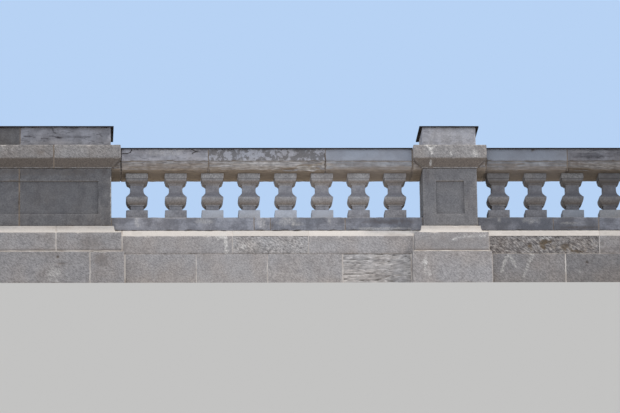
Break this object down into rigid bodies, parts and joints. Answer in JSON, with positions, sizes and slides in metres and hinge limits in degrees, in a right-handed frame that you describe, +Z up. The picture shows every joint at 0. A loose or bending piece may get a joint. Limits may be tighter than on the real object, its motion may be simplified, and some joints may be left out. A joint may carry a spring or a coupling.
{
  "type": "stone balustrade",
  "caption": "Parapet balustrade of weathered grey stone in two bays of square balusters between a narrow pedestal and wide panelled end piers, on a plinth.",
  "frame": {"origin": "middle of the flat underside", "axes": "+Z up, +X along the balustrade to the right, the street front faces -Y"},
  "size_m": [12.746, 0.886, 1.966],
  "materials": {
    "grey_ashlar": "sawn and weathered",
    "moulded_stone": "moulded and weathered",
    "panel_stone": "rubbed and soot-darkened",
    "weathered_stone": "eroded",
    "rail_stone": "laminated and weathered",
    "baluster_stone": "worked and weathered",
    "sheet_metal": "dull dark sheet"
  },
  "bodies": {
    "root": {"left_pier_lower_course": "grey_ashlar", "left_pier_base_course": "moulded_stone", "left_pier_die": "panel_stone", "left_pier_cap": "moulded_stone", "left_pier_blocking_stone": "panel_stone", "left_pier_flashing": "sheet_metal", "middle_pedestal_lower_course": "grey_ashlar", "middle_pedestal_base_course": "moulded_stone", "middle_pedestal_die": "panel_stone", "middle_pedestal_cap": "moulded_stone", "middle_pedestal_blocking_stone": "panel_stone", "middle_pedestal_flashing": "sheet_metal", "right_pier_lower_course": "grey_ashlar", "right_pier_base_course": "moulded_stone", "right_pier_die": "panel_stone", "right_pier_cap": "moulded_stone", "right_pier_blocking_stone": "panel_stone", "right_pier_flashing": "sheet_metal", "left_bay_lower_course": "grey_ashlar", "left_bay_base_course": "weathered_stone", "left_bay_bottom_rail": "rail_stone", "left_bay_top_rail": "rail_stone", "left_bay_flashing": "sheet_metal", "right_bay_lower_course": "grey_ashlar", "right_bay_base_course": "weathered_stone", "right_bay_bottom_rail": "rail_stone", "right_bay_top_rail": "rail_stone", "right_bay_flashing": "sheet_metal", "left_bay_baluster_1": "baluster_stone", "left_bay_baluster_2": "baluster_stone", "left_bay_baluster_3": "baluster_stone", "left_bay_baluster_4": "baluster_stone", "left_bay_baluster_5": "baluster_stone", "left_bay_baluster_6": "baluster_stone", "left_bay_baluster_7": "baluster_stone", "left_bay_baluster_8": "baluster_stone", "right_bay_baluster_1": "baluster_stone", "right_bay_baluster_2": "baluster_stone", "right_bay_baluster_3": "baluster_stone", "right_bay_baluster_4": "baluster_stone", "right_bay_baluster_5": "baluster_stone", "right_bay_baluster_6": "baluster_stone", "right_bay_baluster_7": "baluster_stone", "right_bay_baluster_8": "baluster_stone"}
  },
  "joints": []
}
